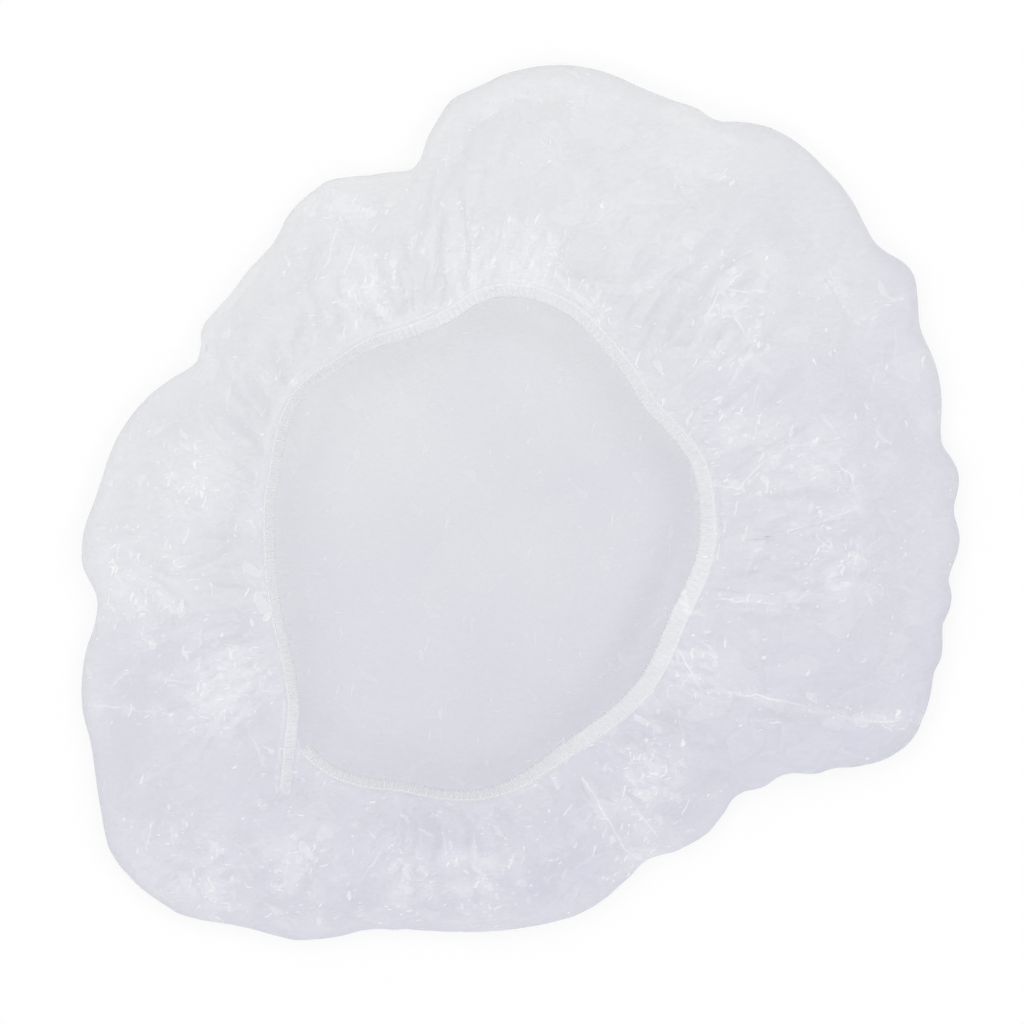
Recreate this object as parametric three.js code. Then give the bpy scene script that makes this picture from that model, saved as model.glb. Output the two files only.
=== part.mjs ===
// A thin film shower cap lying crown down with its elastic mouth upward.
// Millimetres, +Z up, the crown on the table at z = 0, +Y away from the viewer's feet.
import * as THREE from 'three';

// Film. The real film is far thinner than this wall.
const FILM_WALL = 0.5;
const SEAT_GAP = 0.3;

// Cross-section of the cap, from the table up.
const CROWN_INSET = 8;
const ROLL_INSET = 2;
const ROLL_HEIGHT = 1.4;
const RIM_HEIGHT = 6;
const SHOULDER_INSET = 2.5;
const SHOULDER_HEIGHT = 10;
const SLOPE_HEIGHT = 18;
const PUFF_HEIGHT = 26;
const INNER_HEIGHT = 25;
const HEM_HEIGHT = 19;

// Places of the upper rows of the skirt, as shares of the way from the rim to the hem.
const SLOPE_PLACE = 0.22;
const PUFF_PLACE = 0.5;
const INNER_PLACE = 0.78;

// Gathers that the elastic draws into the skirt.
const GATHER_COUNT = 45;
const GATHER_DEPTH = 2.4;
const GATHER_UNEVEN = 0.4;
const GATHER_UNEVEN_COUNT = 7;

// Hem, elastic and seam.
const HEM_WIDTH = 6;
const HEM_WALL = 0.4;
const ELASTIC_WIDTH = 4;
const ELASTIC_THICKNESS = 0.8;
const THREAD_RADIUS = 0.2;
const STITCH_PITCH = 2;
const NEEDLE_INSET = 0.8;
const LOOPER_EDGE = 0.6;

// Plan of the cap, seen from above: its width, and the width and middle of the mouth.
const CAP_WIDTH = 280.8;
const MOUTH_WIDTH = 139.8;
const MOUTH_X = -10.1;
const MOUTH_Y = -12.1;

// The row of the film's side wall where the gathered skirt starts.
const SPLIT_ROW = 4;

// Fineness of the meshes.
const SKIRT_STEPS = 180;
const HEM_STEPS = 128;

// The shape of the crumpled rim: direction in degrees and distance from the middle.
const RIM = [
  [0.8, 138.7], [3.4, 140], [5.5, 139], [7.5, 135.9], [10, 136.4], [15, 138.5], [18.2, 138.9],
  [23.6, 138.3], [26.1, 140.1], [29.6, 144.4], [30.9, 145.2], [32.8, 143.8], [35, 140.7],
  [37, 140.3], [40.4, 141.9], [42.2, 143.3], [47.5, 144], [52.2, 145.4], [57, 143.2],
  [60.2, 139.8], [62.9, 136.5], [65.1, 137.8], [67.3, 138.2], [71, 137.6], [75, 138],
  [80, 140.1], [85, 140.1], [90, 138.4], [94.6, 134.3], [98, 132.4], [100.2, 130.5],
  [101.3, 127.8], [102.6, 122.7], [104.6, 119.3], [106.4, 114], [108.2, 112.2], [111.3, 113.7],
  [115.1, 115.5], [119, 118], [121.6, 120], [125.1, 120.2], [128.7, 120.3], [130.4, 118.7],
  [133.4, 115.6], [139.3, 115.3], [144.7, 115], [148.3, 115.9], [150.1, 116.8], [152.6, 115.1],
  [156.1, 112.2], [160, 116.7], [165.1, 123.8], [170.4, 129], [175, 131.7], [180, 135.6],
  [182.8, 138.6], [185.3, 140], [188.3, 140.2], [191.2, 138.2], [193.1, 137.8], [195.5, 140.9],
  [197.4, 144.9], [200, 148.6], [205, 155.2], [209.6, 158.4], [212.9, 161.8], [215.9, 165.9],
  [218.7, 169.6], [221, 172.4], [224.8, 172.5], [229.7, 170.8], [232, 167.9], [234.5, 164.4],
  [240, 159.6], [245.3, 153.9], [247.9, 150], [250.6, 144.6], [255.2, 141.6], [259.8, 139.1],
  [265.3, 136.7], [270, 135.2], [274.8, 133.1], [279.9, 129.8], [285.5, 124.9], [287.4, 122],
  [290.8, 119.9], [293, 122.1], [296.3, 121.9], [300, 121], [304.2, 118.7], [307.2, 116.2],
  [310.8, 118], [315.6, 120.6], [317.9, 127.3], [321, 131], [322.2, 136.9], [325.2, 141.8],
  [327.7, 144.9], [330.1, 145.7], [333.4, 144.4], [337.9, 141.8], [341, 142.7], [343.3, 139.4],
  [345.3, 140.4], [347.5, 141.2], [349.5, 138.3], [352.7, 139.8], [355.1, 140.8], [356.9, 139.5],
  [359.2, 137.1],
];

// The shape of the hem's middle line: direction in degrees and distance from the middle of the mouth.
const MOUTH = [
  [0, 69.6], [10, 70.5], [20, 71.5], [30, 69.5], [40, 67.8], [50, 70.5], [60, 74], [68, 78],
  [79, 80.5], [90, 79.6], [100, 73.4], [110, 71.6], [121, 73.6], [130, 74.2], [138, 76.3],
  [148, 75.8], [159, 72.2], [170, 70.8], [180, 69.7], [190, 70], [200, 71.3], [209, 73.4],
  [214, 76], [220, 81], [228.5, 87.4], [239.5, 87.1], [250, 82.4], [260, 81.4], [270, 79.8],
  [280, 75.6], [290, 70.7], [300, 68.7], [310, 67.8], [320, 67], [330, 65.5], [340, 64.9],
  [350, 67.3],
];

// How far the hem leans: 0 is flat, and its outer edge rises as it grows.
const LEAN = [[0, 20], [45, 38], [100, 44], [150, 52], [210, 48], [265, 54], [296, 22], [330, 8]];

// The sewn tail, from its tip to the ring: direction, distance from the middle of the mouth, drop.
const TAIL = [[230.6, 102.4, 9], [227.5, 95, 6.5], [224.5, 88.5, 4], [220, 81, 1.8], [214, 76, 0.4]];
const RING_END = -131.5;
const RING_STRIDE = 6;

const rad = THREE.MathUtils.degToRad;

// A smooth closed curve of values around the circle, through the rows of a table.
function around(table, degrees) {
  const n = table.length;
  const a = THREE.MathUtils.euclideanModulo(degrees, 360);
  let k = table.findIndex((row) => row[0] > a) - 1;
  if (k < 0) k = a < table[0][0] ? -1 : n - 1;
  const row = (i) => {
    const turn = Math.floor(i / n);
    const [at, value] = table[i - turn * n];
    return [at + 360 * turn, value];
  };
  const [p, q, r, s] = [row(k - 1), row(k), row(k + 1), row(k + 2)];
  const span = r[0] - q[0];
  const slopeIn = (r[1] - p[1]) / (r[0] - p[0]) * span;
  const slopeOut = (s[1] - q[1]) / (s[0] - q[0]) * span;
  const t = (a - q[0]) / span;
  const rise = t * t * (3 - 2 * t);
  const bend = slopeIn * t * (1 - t) * (1 - t) - slopeOut * t * t * (1 - t);
  return q[1] + (r[1] - q[1]) * rise + bend;
}

// A closed outline in plan, one point per direction, as a table gives it.
function outline(table) {
  const points = [];
  for (let i = 0; i < SKIRT_STEPS; i += 1) {
    const a = 360 * i / SKIRT_STEPS;
    const r = around(table, a);
    points.push(new THREE.Vector2(r * Math.cos(rad(a)), r * Math.sin(rad(a))));
  }
  return points;
}

// The rim seen from above, drawn to the width of the cap with its box centred.
const rimShape = outline(RIM);
const rimBox = new THREE.Box2().setFromPoints(rimShape);
const rimMiddle = rimBox.getCenter(new THREE.Vector2());
const rimScale = CAP_WIDTH / (rimBox.max.x - rimBox.min.x);
const rim = rimShape.map((p) => p.clone().sub(rimMiddle).multiplyScalar(rimScale));

// The mouth, drawn to its own width.
const mouth = new THREE.Vector3(MOUTH_X, MOUTH_Y, HEM_HEIGHT);
const mouthBox = new THREE.Box2().setFromPoints(outline(MOUTH));
const mouthScale = MOUTH_WIDTH / (mouthBox.max.x - mouthBox.min.x);

function mouthPoint(degrees, distance, drop) {
  const a = rad(degrees);
  const p = new THREE.Vector3(distance * Math.cos(a), distance * Math.sin(a), -drop);
  return p.multiplyScalar(mouthScale).add(mouth);
}

// The leaning frame of the hem at one place: across it, outward and up, and square to its face.
function hemFrame(place, along) {
  const out = new THREE.Vector3(along.y, -along.x, 0).normalize();
  const fromMiddle = place.clone().sub(mouth);
  if (out.dot(fromMiddle) < 0) out.negate();
  const degrees = THREE.MathUtils.radToDeg(Math.atan2(fromMiddle.y, fromMiddle.x));
  const lean = rad(around(LEAN, degrees));
  const up = new THREE.Vector3(0, 0, 1);
  const across = out.clone().multiplyScalar(Math.cos(lean)).addScaledVector(up, Math.sin(lean));
  const face = out.clone().multiplyScalar(-Math.sin(lean)).addScaledVector(up, Math.cos(lean));
  return { place, across, face };
}

// The path of the hem, from the tip of the tail round the mouth to the other end.
const pathPoints = TAIL.map(([degrees, distance, drop]) => mouthPoint(degrees, distance, drop));
const ringStart = TAIL[TAIL.length - 1][0] - RING_STRIDE;
for (let a = ringStart; a > RING_END; a -= RING_STRIDE) pathPoints.push(mouthPoint(a, around(MOUTH, a), 0));
pathPoints.push(mouthPoint(RING_END, around(MOUTH, RING_END), 0));
const hemPath = new THREE.CatmullRomCurve3(pathPoints);
const hemLength = hemPath.getLength();

function framesAlong(count) {
  const frames = [];
  for (let i = 0; i <= count; i += 1) {
    frames.push(hemFrame(hemPath.getPointAt(i / count), hemPath.getTangentAt(i / count)));
  }
  return frames;
}

// A closed solid from rings of points, each joined to the next, with flat ends.
// The two halves of a ring are split along opposite diagonals, so that facing walls fold alike.
function solidFromRings(rings, capFaces) {
  const size = rings[0].length;
  const positions = rings.flat().flatMap((p) => [p.x, p.y, p.z]);
  const index = [];
  for (let i = 0; i + 1 < rings.length; i += 1) {
    for (let j = 0; j < size; j += 1) {
      const a = i * size + j;
      const b = i * size + (j + 1) % size;
      if (j < size / 2) index.push(a, b, a + size, b, b + size, a + size);
      else index.push(a, b, b + size, a, b + size, a + size);
    }
  }
  const last = (rings.length - 1) * size;
  for (const [a, b, c] of capFaces) {
    index.push(a, c, b);
    index.push(last + a, last + b, last + c);
  }
  const geometry = new THREE.BufferGeometry();
  geometry.setAttribute('position', new THREE.Float32BufferAttribute(positions, 3));
  geometry.setIndex(index);
  return outward(geometry);
}

// Turns the faces of a closed solid outward.
function outward(geometry) {
  const at = geometry.getAttribute('position');
  const index = geometry.getIndex().array;
  const corner = (k) => new THREE.Vector3().fromBufferAttribute(at, index[k]);
  let volume = 0;
  for (let k = 0; k < index.length; k += 3) volume += corner(k).dot(corner(k + 1).cross(corner(k + 2)));
  if (volume < 0) {
    for (let k = 0; k < index.length; k += 3) [index[k], index[k + 1]] = [index[k + 1], index[k]];
  }
  geometry.computeVertexNormals();
  return geometry;
}

// A strip of constant section along the hem: u runs across it and v square to its face.
function strip(section, count) {
  const rings = framesAlong(count).map(({ place, across, face }) => section.map(([u, v]) => (
    place.clone().addScaledVector(across, u).addScaledVector(face, v))));
  const faces = THREE.ShapeUtils.triangulateShape(section.map(([u, v]) => new THREE.Vector2(u, v)), []);
  return solidFromRings(rings, faces);
}

// A thread that follows corners on the face of the hem, four-sided, with mitred corners.
function thread(corners) {
  const sides = corners.map(({ point, face }, i) => {
    const before = corners[Math.max(i - 1, 0)].point;
    const after = corners[Math.min(i + 1, corners.length - 1)].point;
    const into = i > 0 ? point.clone().sub(before) : after.clone().sub(point);
    const outOf = i + 1 < corners.length ? after.clone().sub(point) : into.clone();
    const left = face.clone().cross(into).normalize();
    const right = face.clone().cross(outOf).normalize();
    return left.clone().add(right).divideScalar(1 + left.dot(right));
  });
  const rings = corners.map(({ point, face }, i) => [
    point.clone().addScaledVector(sides[i], THREAD_RADIUS),
    point.clone().addScaledVector(face, THREAD_RADIUS),
    point.clone().addScaledVector(sides[i], -THREAD_RADIUS),
    point.clone().addScaledVector(face, -THREAD_RADIUS),
  ]);
  return solidFromRings(rings, [[0, 1, 2], [0, 2, 3]]);
}

// Flat crown, cut a little inside the rim.
const toMouth = rim.map((p, i) => {
  const a = 360 * i / SKIRT_STEPS;
  const ring = mouthPoint(a, around(MOUTH, a), 0);
  const next = mouthPoint(a + 1, around(MOUTH, a + 1), 0);
  return hemFrame(ring, next.sub(ring));
});
const inward = rim.map((p, i) => {
  const { place } = toMouth[i];
  return new THREE.Vector2(place.x, place.y).sub(p).normalize();
});
const crownEdge = rim.map((p, i) => p.clone().addScaledVector(inward[i], CROWN_INSET + SEAT_GAP));
const crownGeometry = new THREE.ExtrudeGeometry(new THREE.Shape(crownEdge), {
  depth: FILM_WALL,
  bevelEnabled: false,
});

// Side and skirt: the film rolls off the table, turns at the rim and comes back over the crown to the hem.
const hemDepth = 2 * HEM_WALL + ELASTIC_THICKNESS + 2 * SEAT_GAP;
function skirtColumn(i) {
  const a = rad(360 * i / SKIRT_STEPS);
  const { place, across, face } = toMouth[i];
  const edge = place.clone().addScaledVector(across, HEM_WIDTH / 2 + SEAT_GAP);
  edge.addScaledVector(face, FILM_WALL / 2);
  const start = new THREE.Vector3(rim[i].x, rim[i].y, 0);
  const uneven = 1 - GATHER_UNEVEN + GATHER_UNEVEN * Math.cos(GATHER_UNEVEN_COUNT * a);
  const gather = GATHER_DEPTH * uneven * Math.cos(GATHER_COUNT * a);
  const inset = (distance, height) => {
    const p = start.clone();
    p.x += inward[i].x * distance;
    p.y += inward[i].y * distance;
    p.z = height;
    return p;
  };
  const between = (share, height) => {
    const p = start.clone().lerp(edge, share);
    p.z = height;
    return p;
  };
  return [
    inset(CROWN_INSET, 0),
    inset(ROLL_INSET, ROLL_HEIGHT),
    inset(0, RIM_HEIGHT),
    inset(SHOULDER_INSET, SHOULDER_HEIGHT),
    between(SLOPE_PLACE, SLOPE_HEIGHT + gather / 3),
    between(PUFF_PLACE, PUFF_HEIGHT + gather * 2 / 3),
    between(INNER_PLACE, INNER_HEIGHT + gather),
    edge,
  ];
}

// The outer and inner surface of the film above the table, one column of points per direction.
const filmOuter = rim.map((p, i) => skirtColumn(i));
const filmRows = filmOuter[0].length;
const filmInner = filmOuter.map((column, i) => column.map((p, k) => {
  const before = filmOuter[(i + SKIRT_STEPS - 1) % SKIRT_STEPS][k];
  const after = filmOuter[(i + 1) % SKIRT_STEPS][k];
  const sideways = after.clone().sub(before);
  const along = column[Math.min(k + 1, filmRows - 1)].clone().sub(column[Math.max(k - 1, 0)]);
  const square = along.cross(sideways).normalize();
  const wall = p.clone().addScaledVector(square, FILM_WALL);
  if (k === 0) wall.set(p.x, p.y, FILM_WALL);
  if (k === filmRows - 1) wall.copy(p).addScaledVector(toMouth[i].face, -FILM_WALL);
  return wall;
}));

// A closed band of film between two of those rows, set back from the band before it by a gap.
function filmBand(first, last, gap) {
  const rings = filmOuter.map((column, i) => {
    const outer = column.slice(first, last + 1).map((p) => p.clone());
    const inner = filmInner[i].slice(first, last + 1).map((p) => p.clone());
    const onward = outer[1].clone().sub(outer[0]).setLength(gap);
    outer[0].add(onward);
    inner[0].add(onward);
    return [...outer, ...inner.reverse()];
  });
  rings.push(rings[0]);
  return solidFromRings(rings, []);
}

// Turned hem: film folded round the elastic, with the fold toward the mouth.
const half = HEM_WIDTH / 2;
const deep = hemDepth / 2;
const hemSection = [
  [-half, -deep],
  [half, -deep],
  [half, -deep + HEM_WALL],
  [-half + HEM_WALL, -deep + HEM_WALL],
  [-half + HEM_WALL, deep - HEM_WALL],
  [half, deep - HEM_WALL],
  [half, deep],
  [-half, deep],
];
const elasticStart = -half + HEM_WALL + SEAT_GAP;
const elasticEnd = elasticStart + ELASTIC_WIDTH;
const elasticSection = [
  [elasticStart, -ELASTIC_THICKNESS / 2],
  [elasticEnd, -ELASTIC_THICKNESS / 2],
  [elasticEnd, ELASTIC_THICKNESS / 2],
  [elasticStart, ELASTIC_THICKNESS / 2],
];

// Overlock seam: a needle line near the outer edge and a zigzag on each face.
const threadLift = deep + SEAT_GAP + THREAD_RADIUS;
const needleAt = half - NEEDLE_INSET;
const looperInner = -half + LOOPER_EDGE;
const looperOuter = needleAt - 2 * THREAD_RADIUS - SEAT_GAP - LOOPER_EDGE / 2;
const stitchCount = Math.round(hemLength / STITCH_PITCH);

function seamCorner({ place, across, face }, u, v) {
  return { point: place.clone().addScaledVector(across, u).addScaledVector(face, v), face };
}

const needleCorners = framesAlong(HEM_STEPS).map((frame) => seamCorner(frame, needleAt, threadLift));
const looperCorners = (lift) => framesAlong(stitchCount).map((frame, i) => (
  seamCorner(frame, i % 2 ? looperOuter : looperInner, lift)));

const film = { color: 0xe4e5eb, roughness: 0.22, metalness: 0 };
const rubber = { color: 0xeeeff0, roughness: 0.6, metalness: 0 };
const yarn = { color: 0xf6f7f7, roughness: 0.75, metalness: 0 };

const cap = new THREE.Group();
cap.name = 'shower_cap';

function add(name, geometry, look) {
  const mesh = new THREE.Mesh(geometry, new THREE.MeshStandardMaterial(look));
  mesh.name = name;
  cap.add(mesh);
}

add('film_crown', crownGeometry, film);
add('film_side', filmBand(0, SPLIT_ROW, 0), film);
add('film_skirt', filmBand(SPLIT_ROW, filmRows - 1, SEAT_GAP), film);
add('film_hem', strip(hemSection, HEM_STEPS), film);
add('elastic_band', strip(elasticSection, HEM_STEPS), rubber);
add('needle_thread', thread(needleCorners), yarn);
add('upper_looper_thread', thread(looperCorners(threadLift)), yarn);
add('lower_looper_thread', thread(looperCorners(-threadLift)), yarn);

export default cap;
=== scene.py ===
# %% [markdown]
# # A thin film shower cap, lying crown down
# The cap is one disc of thin polyethylene film whose edge is gathered on a narrow elastic by an
# overlock seam. It lies on its crown with the mouth upward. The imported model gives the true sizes
# and places, so this lesson reads them from there and makes the film, the hem and the thread.

# %% Load the frame
import math

import bpy
import numpy as np
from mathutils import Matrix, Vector, geometry
from mathutils.bvhtree import BVHTree


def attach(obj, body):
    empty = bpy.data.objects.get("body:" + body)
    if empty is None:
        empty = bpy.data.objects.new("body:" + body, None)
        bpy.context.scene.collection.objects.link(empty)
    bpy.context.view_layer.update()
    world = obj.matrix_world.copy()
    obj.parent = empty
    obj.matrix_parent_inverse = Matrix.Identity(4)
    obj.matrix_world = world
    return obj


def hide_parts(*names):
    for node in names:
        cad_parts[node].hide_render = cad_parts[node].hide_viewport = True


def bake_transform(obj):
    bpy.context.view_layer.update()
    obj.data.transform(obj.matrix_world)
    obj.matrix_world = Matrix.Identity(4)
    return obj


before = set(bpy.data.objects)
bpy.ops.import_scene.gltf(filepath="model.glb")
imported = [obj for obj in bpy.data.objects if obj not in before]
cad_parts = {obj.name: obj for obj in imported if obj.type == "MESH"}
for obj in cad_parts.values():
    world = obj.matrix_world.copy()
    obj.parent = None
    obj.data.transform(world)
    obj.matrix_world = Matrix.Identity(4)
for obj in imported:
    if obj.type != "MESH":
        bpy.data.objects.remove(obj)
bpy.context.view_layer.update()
MM = 0.001

# %% [markdown]
# ## Small helpers
# A colour is written as the sRGB hex that an eye would pick and is turned to the linear values
# that a socket takes. One function adds a node with its settings and links, and another turns
# arrays of points and faces into an object.

# %% Helpers for colours and nodes


def linear(code):
    """The linear RGBA of an sRGB hex colour."""
    shares = [int(code[k:k + 2], 16) / 255 for k in (1, 3, 5)]
    return [c / 12.92 if c <= 0.04045 else ((c + 0.055) / 1.055) ** 2.4 for c in shares] + [1.0]


def add(tree, kind, inputs=None, **settings):
    """A new node: settings are its properties, and inputs are values, or sockets or nodes to link."""
    node = tree.nodes.new(kind)
    for name, value in settings.items():
        setattr(node, name, value)
    for name, value in (inputs or {}).items():
        if isinstance(value, bpy.types.Node):
            value = next(socket for socket in value.outputs if socket.enabled)
        if isinstance(value, bpy.types.NodeSocket):
            tree.links.new(value, node.inputs[name])
        else:
            node.inputs[name].default_value = value
    return node


def new_material(name):
    """An empty material and its node tree."""
    material = bpy.data.materials.new(name)
    material.use_nodes = True
    material.node_tree.nodes.clear()
    return material, material.node_tree


print("a mid grey as a socket takes it:", round(linear("#808080")[0], 3))

# %% Helpers for meshes


def new_object(name, points, faces):
    """A smooth object at the origin, from its points and a list of the corners of each face."""
    mesh = bpy.data.meshes.new(name)
    mesh.from_pydata(np.asarray(points).tolist(), [], faces)
    mesh.shade_smooth()
    piece = bpy.data.objects.new(name, mesh)
    bpy.context.collection.objects.link(piece)
    return piece


def set_attribute(mesh, name, values):
    """Stores one number or one vector per vertex."""
    values = np.asarray(values, dtype=np.float32)
    kind, field = ("FLOAT", "value") if values.ndim == 1 else ("FLOAT_VECTOR", "vector")
    attribute = mesh.attributes.new(name, kind, "POINT")
    attribute.data.foreach_set(field, values.ravel())


def get_attribute(mesh, name, width=1):
    """Reads back what set_attribute stored, also after a modifier has refined the mesh."""
    values = np.empty(len(mesh.vertices) * width, dtype=np.float32)
    mesh.attributes[name].data.foreach_get("value" if width == 1 else "vector", values)
    return values.astype(float) if width == 1 else values.astype(float).reshape(-1, width)


def points_of(mesh, what="co"):
    """The places or normals of a mesh's vertices as an array."""
    values = np.empty(len(mesh.vertices) * 3)
    mesh.vertices.foreach_get(what, values)
    return values.reshape(-1, 3)


def finished(piece):
    """Turns a piece's modifiers into plain mesh."""
    evaluated = piece.evaluated_get(bpy.context.evaluated_depsgraph_get())
    result = bpy.data.meshes.new_from_object(evaluated)
    piece.modifiers.clear()
    piece.data = result
    result.name = piece.name
    return piece


print("points on the packed crown:", len(points_of(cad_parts["film_crown"].data)))

# %% [markdown]
# ## The route of the hem
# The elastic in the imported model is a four-sided strip from the tip of the tail round the mouth to
# its other end. Walking its mesh ring by ring from the tip, which is its lowest end, gives the middle
# line of the hem and the way it leans, so nothing has to be measured twice.

# %% Read the hem's route and lean
TIP_REACH = 12 * MM
FACING_AWAY = 0.7


def merged(name):
    """The points and triangles of a CAD node, with doubled points joined."""
    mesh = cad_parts[name].data
    mesh.calc_loop_triangles()
    corners = np.array([list(t.vertices) for t in mesh.loop_triangles])
    points, place = np.unique(np.round(points_of(mesh), 7), axis=0, return_inverse=True)
    return points, place.ravel()[corners]


def rings_from_tip(points, triangles, reach):
    """The rings of a strip, each a list of points, from its lowest end to its other end."""
    tip = points[points[:, 2].argmin()]
    near = np.linalg.norm(points - tip, axis=1) < reach
    away = tip - points[near].mean(axis=0)
    edge = points[triangles]
    normals = np.cross(edge[:, 1] - edge[:, 0], edge[:, 2] - edge[:, 0])
    facing = normals @ away / np.linalg.norm(normals, axis=1) / np.linalg.norm(away)
    cap = (facing > FACING_AWAY) & near[triangles].all(axis=1)
    neighbours = {}
    for triangle in triangles.tolist():
        for corner in triangle:
            neighbours.setdefault(corner, set()).update(triangle)
    level = set(triangles[cap].ravel().tolist())
    seen = set(level)
    rings = []
    while level:
        rings.append(points[sorted(level)])
        level = set().union(*(neighbours[k] for k in level)) - seen
        seen |= level
    return rings


def unit(vectors):
    """The same directions, each one long."""
    return vectors / np.linalg.norm(vectors, axis=-1, keepdims=True)


rings = rings_from_tip(*merged("elastic_band"), TIP_REACH)
route = np.array([ring.mean(axis=0) for ring in rings])
past_tail = route[len(route) // 8:]
mouth_middle = (past_tail.min(axis=0) + past_tail.max(axis=0)) / 2
across = np.array([np.linalg.svd(ring - ring.mean(axis=0))[2][0] for ring in rings])
across *= np.sign(np.einsum("ij,ij->i", across, route - mouth_middle))[:, None]
along = unit(np.gradient(route, axis=0))
face = np.cross(along, across)
face = unit(face * np.sign(face[:, 2:]))
route_length = np.linalg.norm(np.diff(route, axis=0), axis=1).sum()
print("hem rings:", len(rings), "length mm:", round(route_length / MM))
print("mouth middle mm:", np.round(mouth_middle / MM, 1))

# %% [markdown]
# ## The outline of the film
# Seen from above the film goes from the middle of the crown out to the crumpled rim, turns there
# and comes back over the crown to the needle line on the hem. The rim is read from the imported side
# wall and the hem from the route, both as one distance for each direction.

# %% Read the rim and the mouth
DIRECTIONS = 720
RIM_COLUMNS = 180
HEM_HALF_WIDTH = 3 * MM
FOLD_DEPTH = 1.1 * MM
RING_DROP = 1 * MM
NEEDLE_LINE = HEM_HALF_WIDTH - 0.8 * MM
bearing = np.arange(DIRECTIONS) * 2 * math.pi / DIRECTIONS
heading = np.stack([np.cos(bearing), np.sin(bearing)], axis=1)


def around(angles, distances):
    """Distances for all directions, from a few that are known."""
    order = np.argsort(angles)
    return np.interp(bearing, angles[order], distances[order], period=2 * math.pi)


def polar(points, middle):
    """Angle and distance of points in plan."""
    x, y = (points[:, :2] - middle[:2]).T
    return np.mod(np.arctan2(y, x), 2 * math.pi), np.hypot(x, y)


side_points, _ = merged("film_side")
side_angle, side_distance = polar(side_points, np.zeros(2))
column = np.round(side_angle * RIM_COLUMNS / (2 * math.pi)).astype(int) % RIM_COLUMNS
in_column = [np.flatnonzero(column == k) for k in range(RIM_COLUMNS)]
outermost = [members[side_distance[members].argmax()] for members in in_column]
rim = heading * around(side_angle[outermost], side_distance[outermost])[:, None]

on_ring = route[:, 2] > route[:, 2].max() - RING_DROP
edge_points = (route + across * NEEDLE_LINE + face * FOLD_DEPTH)[on_ring]
hem_edge = mouth_middle[:2] + heading * around(*polar(edge_points, mouth_middle))[:, None]
edge_rise = around(polar(edge_points, mouth_middle)[0], edge_points[:, 2])
inward = unit(hem_edge - rim)
span = np.linalg.norm(hem_edge - rim, axis=1)
rim_reach = np.linalg.norm(rim, axis=1) / MM
print("rim mm:", round(rim_reach.min()), "to", round(rim_reach.max()))

# %% [markdown]
# ## The film before it crumples
# The film is one disc, so its mesh is a square grid mapped to a disc, which has no pole and no
# seam. Each point keeps its distance along the film: first over the flat crown, then up the side
# and over the puffed skirt to the hem. The skirt's heights come from rays cast down on the packed
# film, so this one starts with the same main folds.

# %% Lay the disc in the shape of the cap
GRID = 150
ROLL_INSET = 10 * MM
SIDE_INSET = 3 * MM
SIDE_HEIGHT = 10 * MM
RIM_HEIGHT = 6 * MM
CURVE_STEPS = 120
PATH_STEPS = 240
SIDE_ROWS = (
    (ROLL_INSET, 0.0),
    (0.3 * ROLL_INSET, 0.25 * RIM_HEIGHT),
    (0.0, RIM_HEIGHT),
    (SIDE_INSET, SIDE_HEIGHT),
)
SKIRT_PLACES = (0.14, 0.26, 0.4, 0.54, 0.68, 0.8, 0.9)
ABOVE = 0.1
packed_film = []
for name in ("film_side", "film_skirt"):
    points, triangles = merged(name)
    packed_film.append(BVHTree.FromPolygons(points.tolist(), triangles.tolist()))


def film_height(plan):
    """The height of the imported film's outer face at places in plan."""
    heights = np.full(len(plan), np.nan)
    for solid in packed_film:
        hits = [solid.ray_cast(Vector((x, y, ABOVE)), Vector((0, 0, -1)))[0] for x, y in plan]
        heights = np.fmax(heights, [hit.z if hit else np.nan for hit in hits])
    known = ~np.isnan(heights)
    return np.interp(bearing, bearing[known], heights[known], period=2 * math.pi)


def smooth_path(knots, steps):
    """A Catmull-Rom curve through the knots, which are arrays of one point per direction."""
    ends = [2 * knots[0] - knots[1], *knots, 2 * knots[-1] - knots[-2]]
    path = []
    for u in np.linspace(0, len(knots) - 1 - 1e-9, steps):
        k, t = int(u), u % 1
        a, b, c, d = ends[k:k + 4]
        bend = (2 * a - 5 * b + 4 * c - d) * t + (3 * b - a - 3 * c + d) * t * t
        path.append(b + 0.5 * t * (c - a + bend))
    return np.stack(path, axis=1)


knots = []
for inset, height in SIDE_ROWS:
    knots.append(np.column_stack([rim + inward * inset, np.full(DIRECTIONS, height)]))
for share in SKIRT_PLACES:
    plan = rim + inward * (share * span)[:, None]
    knots.append(np.column_stack([plan, film_height(plan)]))
knots.append(np.column_stack([hem_edge, edge_rise]))
film_path = np.concatenate([np.zeros((DIRECTIONS, 1, 3)), smooth_path(knots, CURVE_STEPS)], axis=1)
steps = np.linalg.norm(np.diff(film_path, axis=1), axis=2)
travelled = np.concatenate([np.zeros((DIRECTIONS, 1)), np.cumsum(steps, axis=1)], axis=1)
film_length = travelled[:, -1]
crown_length = travelled[:, 1]
shares = np.linspace(0, 1, PATH_STEPS)
even_path = np.empty((DIRECTIONS, PATH_STEPS, 3))
for k in range(DIRECTIONS):
    for axis in range(3):
        even_path[k, :, axis] = np.interp(shares * film_length[k], travelled[k], film_path[k, :, axis])
print("knots along each ray:", len(knots))

# %% [markdown]
# The paths above are tables with one row for each direction. The grid takes its places from them,
# and keeps for each point its share of the way from the middle of the crown to the hem.

# %% Set a square grid on the disc


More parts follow.
